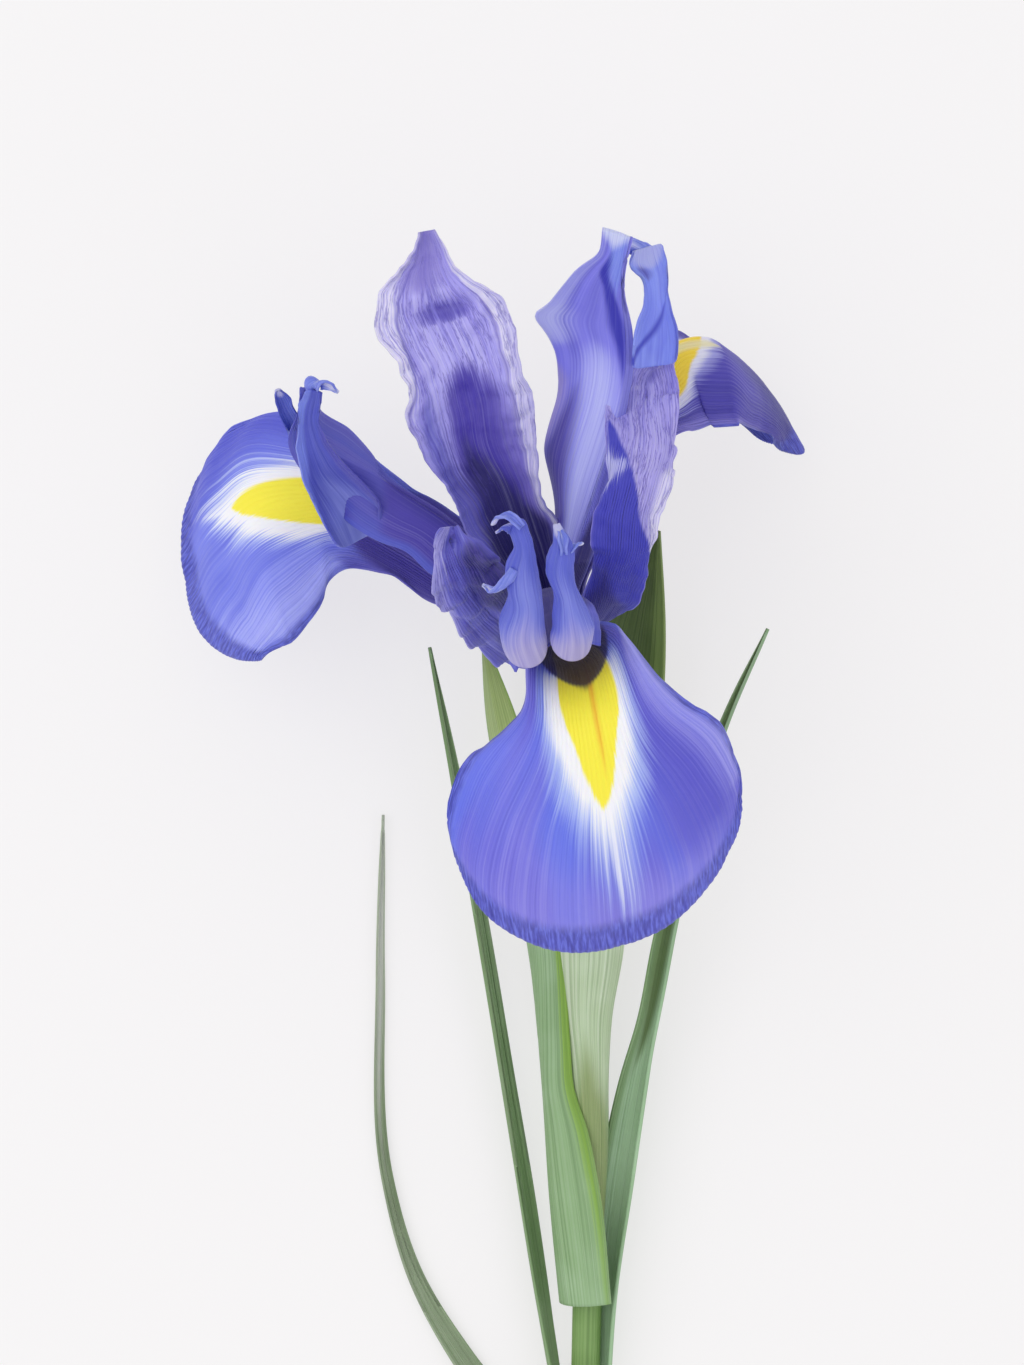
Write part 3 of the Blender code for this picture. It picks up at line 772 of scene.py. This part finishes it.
ARM_LOOKS = {
    "style_arm_front": dict(tones=("5A5CC8", "5056C0"), tints=[
        # Painted shade: most of the roof is deep violet, for the dark throat under the crest lobes.
        Mark("2A2270", ((0, 0, 100), (70, 0, 100), (85, 0, 50), (100, 0, 20)), 0.3, 0.4),
    ]),
    "style_arm_left": dict(tones=("5E5CC0", "545AC2"), tints=[
        Mark("5448B2", ((0, 0, 100), (50, 0, 100), (57, 0, 50), (64, 0, -40)), 0.3, 0.4),
        Mark("43389E", ((0, -20, 40), (45, -10, 25), (58, -5, 12), (66, 0, -20)), 0.15, 0.2, 0.9),
        Mark("5C66D0", ((10, 90, 10), (35, 92, 12), (60, 95, 10), (70, 100, -10)), 0.08, 0.2, 0.9),
    ]),
    "style_arm_right": dict(tones=("8886EC", "7876DC"), tints=[
        Mark("C6CAFF", ((15, 25, 10), (35, 25, 20), (50, 25, 25), (66, 35, 20),
             (76, 40, -30)), 0.3, 0.6, 0.9),
        Mark("43369E", ((10, 75, 40), (30, 76, 36), (42, 74, 30), (50, 74, 20), (58, 70, 6),
             (66, 60, -15)), 0.2, 0.5, 0.95),
        Mark("A99EDA", ((40, 100, -5), (48, 100, 12), (60, 100, 15), (70, 100, -10)), 0.1, 0.4, 0.9),
        Mark("C4C8F4", ((70, 100, -10), (77, 100, 30), (83, 100, 12), (90, 100, 5)), 0.25, 0.5, 0.85),
        Mark("3230B4", ((62, 0, -5), (72, 4, 6), (80, 10, 10), (86, 22, 10), (91, 46, 12),
             (100, 50, -10)), 0.06, 0.2),
        Mark("8294EE", ((84, 5, -10), (90, 15, 15), (96, 30, 30), (100, 40, 50)), 0.15, 0.4, 0.9),
        Mark("30267C", ((0, -50, 50), (20, -50, 45), (32, -60, 30), (45, -70, -20)), 0.2, 0.2, 0.95),
        Mark("DCE0F8", ((95, 50, -30), (100, 50, 70)), 0.3, 0.4, 0.8),
    ]),
}

# The crest lobes at an arm's end are tongues, which narrow from a round lower end to the crest's tip.
LOBES = {  # name, which begins with its arm's: azimuth of its face, route from the tip down, edges, lean
    "style_arm_front_lobe_left": (
        0,
        ((30, -3.5, 54.5), (31.5, -1, 56), (33.5, -1, 54.5), (35, -2, 51), (37, -3.5, 46.5),
         (39.5, -5.5, 41), (40, -6, 36.5)),
        ((0, -0.8, 0.6), (8, -1.7, 1.5), (16, -1.3, 1.4), (26, -1.2, 1.5), (36, -2.6, 2.1), (45, -3, 2.6),
         (54, -2.7, 3), (69, -4.3, 3.5), (85, -4.2, 4)),
        0,
    ),
    "style_arm_front_lobe_right": (
        0,
        ((33, 4.5, 54.5), (35, 4, 52.5), (36.5, 3, 50), (38.5, 2.5, 45), (41, 1.5, 39.5), (41, 0, 35.5)),
        ((0, -0.4, 0.4), (18, -1.5, 2.1), (29, -2.4, 2), (45, -2.2, 1.6), (63, -3.6, 2.6), (78, -4.2, 3.6),
         (85, -4.2, 3.8)),
        0,
    ),
    "style_arm_left_lobe_near": (
        153,
        ((0, 24, 57.5), (-1, 26.5, 52), (-2, 26.5, 44), (-1.5, 26, 34.5), (-1.5, 25, 27)),
        ((0, -1.3, 1.3), (8, -1.6, 1.7), (20, -1.8, 1.9), (42, -3.4, 4), (60, -5.8, 4.5), (70, -6.8, 4.8),
         (85, -5, 5)),
        -28,
    ),
    "style_arm_left_lobe_far": (
        153,
        ((2.5, 31, 56), (3, 31.5, 51), (3.5, 31.5, 44), (3.5, 31, 38.5)),
        ((0, -0.5, 0.5), (15, -1.3, 0.9), (30, -1.8, 1), (50, -2.2, 1.2), (85, -2.6, 2)),
        -20,
    ),
    "style_arm_right_lobe_right": (
        180,
        ((13.5, -34, 57.5), (11.5, -33.5, 54), (9.5, -32, 50.5), (8, -30.5, 46), (7, -28.5, 40.5)),
        ((0, -1.6, 3), (8, -1.9, 4), (22, -1.9, 2.8), (33, -1.9, 2), (42, -2.2, 2.2), (55, -3, 3.9),
         (68, -3.6, 5), (85, -3.6, 5.2)),
        5,
    ),
}

PALE_TIP = Mark("D8D8F4", ((0, 0, 100), (6, 0, 60), (14, 0, -40)), 0.4, 0.8, 0.8)
PINKISH_END = Mark("B9AFD6", ((60, 0, -40), (85, 0, 40), (100, 0, 90)), 0.5, 0.8, 0.85)
LOBE_LOOKS = {
    "style_arm_front_lobe_left": dict(tones=("5560C8", "5C66D0"), tints=[
        Mark("7F88DE", ((30, 0, -20), (55, 10, 30), (80, 0, 50)), 0.4, 0.8, 0.9),
        PINKISH_END,
        PALE_TIP,
    ]),
    "style_arm_front_lobe_right": dict(tones=("5560C8", "5C66D0"), tints=[
        Mark("7F88DE", ((30, 0, -20), (55, 0, 30), (80, 0, 50)), 0.4, 0.8, 0.9),
        PINKISH_END,
        PALE_TIP,
    ]),
    "style_arm_left_lobe_near": dict(tones=("5058C0", "5C64CC"), tints=[
        # Painted highlight along the lip, which turns outward to the light.
        Mark("8494EE", ((0, 60, 40), (30, 70, 40), (60, 85, 20), (80, 100, 5)), 0.15, 0.4, 0.9),
        Mark("8E98E4", ((50, 20, -20), (75, 0, 40), (100, 0, 60)), 0.4, 1.2, 0.8),
        Mark("5854B4", ((20, -100, -5), (40, -100, 50), (80, -100, 50), (95, -100, 20)), 0.3, 0.4, 0.9),
    ]),
    "style_arm_left_lobe_far": dict(tones=("6070D6", "5A66CC"), tints=[PALE_TIP]),
    "style_arm_right_lobe_right": dict(tones=("8896F0", "92A2F6"), tints=[
        Mark("484EC4", ((36, -80, -5), (50, -35, 4), (70, 5, 10), (85, 50, 14), (100, 95, 20)), 0.12, 0.2),
        Mark("5660CC", ((30, -100, 5), (60, -100, 15), (100, -100, 25)), 0.15, 0.4, 0.8),
        Mark("524CA8", ((10, 35, -10), (20, 30, 20), (30, 30, -10)), 0.2, 0.8, 0.8),
        Mark("C4C6EE", ((0, 0, 100), (10, 0, 60), (20, 0, -30)), 0.4, 1.2, 0.7),
    ]),
}

# Small curls where a lobe's margin or tip rolls over.
CURLS = {  # name, which begins with its arm's: azimuth, half the breadth, route
    "style_arm_front_tooth": (
        0, 0.9,
        ((35, -3.4, 51), (35.6, -4.8, 50), (35.2, -6.4, 48.6), (34, -7.6, 47.8), (32.6, -8.4, 48.2)),
    ),
    "style_arm_front_hook": (
        0, 0.7, ((32.4, -0.2, 55.8), (31.4, -1, 57.2), (30.2, -2.6, 57), (29.2, -4, 55.4)),
    ),
    "style_arm_front_tip_left": (
        0, 0.6, ((35.8, 3.9, 51), (35, 4.4, 52.6), (33.8, 4.6, 53.4), (32.6, 4.2, 52.6)),
    ),
    "style_arm_front_tip_right": (0, 0.45, ((35.5, 4.8, 50.6), (34.8, 6, 50.8), (33.8, 7, 49.8))),
    "style_arm_left_tip": (
        153, 1.2, ((0.2, 24.8, 56), (0.5, 24.4, 58.2), (0.8, 22.6, 58.4), (1, 20.6, 56.2)),
    ),
    "style_arm_right_tip": (
        180, 1.5, ((12.5, -33.5, 54), (13.5, -32.5, 57.5), (14.5, -31, 58.5), (14.5, -29.5, 56.5)),
    ),
}


def arm_of(name):
    """The style arm that a lobe or a curl is part of."""
    return "_".join(name.split("_")[:3])


def add_curls():
    for name, (azimuth, reach, route) in CURLS.items():
        sheet = Sheet(
            route, even((0, reach), (60, reach), (100, 0.3 * reach)), roll=both((0, -100), (100, -60)),
            crumple=((0, 0.1), (100, 0.5)), crumple_size=2.0, cells=(40, 20),
        )
        surface = petal_surface(
            name, ("6E7EDA", "8490E6"), veins=(12.0, 0.4),
            tints=(Mark("ECECFB", ((35, 0, -50), (70, 0, 30), (100, 0, 100)), 0.5, 1, 0.9),),
        )
        add_sheets(name, [sheet], surface, turned(azimuth), arm_of(name))


def add_style_arms():
    for name, (azimuth, route, *halves) in STYLE_ARMS.items():
        sheets = [
            Sheet(
                route, side=side, half=True, veins=(0.04, 12), crumple=((0, 0), (70, 0.1), (100, 0.4)),
                cells=(110, 36), **{field: one_sided(rows) for field, rows in half.items()},
            )
            for side, half in zip((-1, 1), halves)
        ]
        surface = petal_surface(name, veins=(40.0, 0.3), **ARM_LOOKS[name])
        add_sheets(name + "_roof", sheets, surface, turned(azimuth), name)


def add_lobes():
    for name, (azimuth, route, edges, lean) in LOBES.items():
        sheet = Sheet(
            route, edges, sides_end=edges[-1][0] / 100, roll=both((0, -30), (50, -70), (100, -80)),
            lean=((0, lean), (100, lean)), veins=(0.03, 8), crumple=((0, 0.5), (30, 0.25), (100, 0.05)),
            crumple_size=3.0, cells=(90, 40),
        )
        surface = petal_surface(name, veins=(20.0, 0.3), **LOBE_LOOKS[name])
        add_sheets(name, [sheet], surface, turned(azimuth), arm_of(name))


# ---------------------------------------------------------------------------- stalks and leaves

# Rows of (x, y, z, radius); a stamen's are in its arm's frame, the others in the plant's.
STAMEN = ((2.9, 0, 0.8, 0.45), (9, 0, 12, 0.5), (16, 0, 21, 0.5), (22, 0, 26, 1.2), (30, 0, 31, 1.0))
OVARY = ((150, 4, 28.4, 4.9), (147.4, 3, 25.6, 3.8), (138, 0.2, 17.6, 3.6), (126, -1, 13.2, 3.6),
         (114.1, -1.4, 11.1, 2.8))
STEM = ((0, 0, 2.4, 2.4), (30, -0.6, 5, 2.4), (60, -1.2, 7.5, 2.5), (90, -1.5, 9.2, 2.6),
        (113.6, -1.4, 10.8, 2.8))

GREENS = {
    "spathe_inner": dict(
        route=((54, -1.1, 9.2), (64, -1.3, 10.4), (70, -1.4, 11.2), (78, -1.4, 12), (95, -1.5, 13.7),
               (114, -1.4, 15.6), (128, -1, 18.8), (137, 0.5, 23.6), (142, 2, 28.5)),
        edges=((0, -3.3, 3.3), (10, -3.8, 3.8), (28, -3.9, 5.2), (37, -4.6, 7), (48, -7, 9), (64, -7.6, 9),
               (85, -5, 5), (100, -0.5, 0.5)),
        roll=both((0, -95), (50, -90), (100, -50)),
    ),
    "spathe_outer": dict(
        route=((70, -1.4, 5.2), (90, -1.6, 5.6), (108, -2, 5), (124, -3, 4.6), (140, -5.5, 7.5),
               (155, -8.5, 12), (168, -12, 17)),
        edges=even((0, 3.4), (18, 3.8), (30, 5.8), (60, 9), (85, 5.5), (100, 0.5)),
        roll=both((0, 90), (40, 88), (70, 50), (100, 30)),
    ),
    "leaf_sheath": dict(
        route=((40, 3.4, 6.5), (61, 5.4, 7.5), (76, 6, 8.5), (84, 6.2, 9.4), (102, 7.6, 10),
               (120, 11.2, 11), (138, 14.8, 12.5), (150, 16.3, 13.5)),
        edges=((0, -6.6, 8.9), (19, -8, 8.9), (26, -8, 7.7), (33, -7, 5.1), (39, -6, 4.5), (56, -4, 4.4),
               (75, -2, 4.4), (88, -1.5, 4), (100, -0.3, 0.4)),
        roll=((0, 100, 100), (19, 98, 98), (40, 70, 60), (60, 40, 40), (100, 20, 20)),
        lean=((0, 105), (25, 105), (40, 125), (60, 140), (100, 150)),
    ),
    "leaf_right": dict(
        route=((28, -3.9, 4.3), (45, -4.4, 5.5), (61, -6.2, 6.5), (79, -9.2, 7.6), (88, -11.2, 8.6),
               (103, -14, 10.5), (137, -23.3, 15), (152, -30, 17)),
        edges=even((0, 2.8), (25, 3.3), (38, 2.6), (45, 1.9), (56, 1.8), (83, 0.8), (100, 0.2)),
        roll=both((0, 60), (30, 50), (100, 30)),
        lean=((0, -50), (25, -25), (50, -20), (100, -30)),
    ),
    "leaf_left": dict(
        route=((15, 3.2, 3.8), (35, 6.2, 3.6), (61, 10, 3.8), (76, 12.4, 4.4), (104, 16.9, 6),
               (128, 21.1, 9), (149, 25.2, 12)),
        edges=even((0, 2.6), (30, 1.6), (45, 1.25), (80, 1), (100, 0.2)),
        roll=both((0, 45), (30, 40), (100, 20)),
        lean=((0, 88), (30, 40), (100, 30)),
    ),
    "leaf_far_left": dict(
        route=((2, 3.5, 2.7), (9, 5.2, 2.5), (18, 11, 2), (30, 20, 1.4), (44, 28, 1.1), (60, 32.6, 1.0),
               (94, 33.8, 1), (121, 33.3, 1.2)),
        edges=even((0, 2.3), (20, 2), (45, 1), (80, 0.6), (100, 0.2)),
        roll=both((0, 45), (20, 30), (100, 15)),
        lean=((0, 88), (20, 20), (100, 5)),
    ),
}
GREEN_LOOKS = {
    "spathe_inner": dict(tones=("D2E0C6", "C2D4B2"), marks=[
        Mark("8A9A58", ((0, 0, 100), (12, 0, 90), (26, 0, 30), (36, 0, -40)), 0.4, 0.5, 0.8),
        Mark("C8D4BA", ((20, 50, -10), (40, 40, 15), (70, 40, 15)), 0.2, 0.5, 0.8),
    ]),
    "spathe_outer": dict(tones=("5E7434", "4C602A"), marks=[
        Mark("9DB48A", ((0, 0, 100), (40, 0, 80), (60, 0, -30)), 0.4, 0.5),
        Mark("7E9450", ((50, -90, -10), (70, -90, 15), (100, -80, 20)), 0.1, 0.5, 0.8),
    ]),
    "leaf_sheath": dict(tones=("A6C39C", "96B688"), marks=[
        Mark("8DB44A", ((10, 92, 5), (30, 90, 12), (56, 90, 25), (70, 70, 50), (100, 50, 100)), 0.1, 0.3),
        Mark("B9C886", ((66, 0, -30), (80, 0, 100), (100, 0, 100)), 0.3, 0.5, 0.8),
    ]),
    "leaf_right": dict(tones=("B2D0B0", "A6C6A2"), marks=[
        # Painted shade: from halfway along, the leaf is painted dark green for its side in shadow.
        Mark("556E34", ((38, 40, -30), (50, 0, 60), (60, 0, 80), (100, 0, 90)), 0.4, 0.5, 0.9),
        Mark("7E9C66", ((10, 100, 5), (30, 100, 30), (45, 100, 50)), 0.2, 0.5, 0.7),
    ]),
    "leaf_left": dict(tones=("8CA87C", "7E9C6C"), marks=[
        Mark("A6BC96", ((10, 70, 20), (50, 70, 25), (100, 70, 20)), 0.15, 0.3, 0.8),
    ]),
    "leaf_far_left": dict(tones=("A3B396", "97A88A"), marks=[
        Mark("E4E7E0", ((50, 0, -40), (76, 0, 80), (100, 0, 100)), 0.6, 0),
    ]),
}


def add_greens():
    for name, shape in GREENS.items():
        sheet = Sheet(**shape, cells=(160, 24), thickness=0.6, veins=(0.04, 14))
        surface = green_surface(name, **GREEN_LOOKS[name])
        add_sheets(name + "_blade", [sheet], surface, PLANT, name)


def stalk_mesh(name, rows, matrix, rings=90, sides=32, ribs=(0.0, 0)):
    """A closed round tube along the smooth curve through rows of (x, y, z, radius)."""
    rows = np.array(rows, float)
    u, turn = np.meshgrid(np.linspace(0, 1, rings), np.linspace(0, math.tau, sides + 1), indexing="ij")
    values = smooth_curve(stops_along(rows[:, :3]), rows, u)
    middle = values[..., :3]
    radius = values[..., 3] + ribs[0] * np.cos(ribs[1] * turn)
    ahead = unit(np.gradient(middle, axis=0))
    aside = unit(np.cross(ahead, (0.0, 0.0, 1.0)))
    up = np.cross(aside, ahead)
    outward = aside * np.cos(turn)[..., None] + up * np.sin(turn)[..., None]
    mesh = new_grids()
    shares = np.stack((u, turn / math.tau), axis=-1)
    vertices = add_grid(mesh, middle + radius[..., None] * outward, shares, matrix)
    mesh.faces.new(vertices[:sides])
    mesh.faces.new(vertices[: -sides - 1 : -1])
    return in_metres(name, mesh)


def add_stalks():
    green = green_surface("stem", ("8DAE6C", "7A9C58"), ribs=20.0)
    add_piece("stem_stalk", stalk_mesh("stem_stalk", STEM, PLANT), green, ["stem"])
    pale = green_surface("ovary", ("A6C292", "94B47E"))
    body = stalk_mesh("ovary_body", OVARY, PLANT, ribs=(0.2, 6))
    add_piece("ovary_body", body, pale, ["ovary"])
    cream = Surface("stamen_skin", {"Roughness": 0.6})
    grain = cream.noise(cream.place(), scale=2500.0, detail=2.0)
    cream = cream.finish(cream.ramp(grain, (0.3, "C8BC8C"), (0.6, "E4DCB4")), height=grain)
    for arm, (azimuth, *_) in STYLE_ARMS.items():
        node = arm.replace("style_arm", "stamen")
        mesh = stalk_mesh(node + "_anther", STAMEN, turned(azimuth), rings=60, sides=16)
        add_piece(node + "_anther", mesh, cream, [node])


# ---------------------------------------------------------------------------- the studio

CAMERA_SPOT = (1.37, 36.62, 588.39)  # above the flower, looking straight down
CAMERA_LENS = 92.285
FLOOR_SIDE = 6.0  # this and what follows is in metres
PAPER = {
    "Base Color": (0.35, 0.345, 0.347, 1),
    "Roughness": 0.9,
    "Emission Color": (1, 0.985, 0.992, 1),
    "Emission Strength": 0.58,
}
DAYLIGHT = {"Color": (1, 1, 1, 1), "Strength": 0.8}
LIGHTS = {  # name: place, side, watts
    "key": ((-0.45, 0.15, 0.75), 0.8, 1.6),
    "fill": ((0.6, -0.5, 0.6), 0.9, 0.8),
}
LIGHTS_AIM = (0, 0.04, 0.03)


def add_floor():
    """A pale floor that glows a little, so that shadows on it stay faint."""
    mesh = bpy.data.meshes.new("floor")
    half = FLOOR_SIDE / 2
    corners = [(-half, -half, 0), (half, -half, 0), (half, half, 0), (-half, half, 0)]
    mesh.from_pydata(corners, [], [(0, 1, 2, 3)])
    paper = bpy.data.materials.new("paper")
    paper.use_nodes = True
    set_sockets(paper.node_tree.nodes["Principled BSDF"], PAPER)
    mesh.materials.append(paper)
    floor = add_object("floor", mesh)


def add_lights():
    world = bpy.data.worlds.new("soft_daylight")
    world.use_nodes = True
    set_sockets(world.node_tree.nodes["Background"], DAYLIGHT)
    bpy.context.scene.world = world
    for name, (spot, side, watts) in LIGHTS.items():
        lamp = bpy.data.lights.new(name, "AREA")
        lamp.size = side
        lamp.energy = watts
        light = add_object(name, lamp)
        light.location = spot
        toward = Vector(LIGHTS_AIM) - Vector(spot)
        light.rotation_euler = toward.to_track_quat("-Z", "Y").to_euler()


def add_camera():
    lens = bpy.data.cameras.new("camera")
    lens.lens = CAMERA_LENS
    lens.sensor_width = 36.0
    lens.clip_start = 0.01
    camera = add_object("camera", lens)
    camera.location = Vector(CAMERA_SPOT) * MM
    bpy.context.scene.camera = camera


add_camera()
add_falls()
add_standards()
add_style_arms()
add_lobes()
add_curls()
add_stalks()
add_greens()
add_floor()
add_lights()
bpy.context.scene.view_settings.view_transform = "Standard"
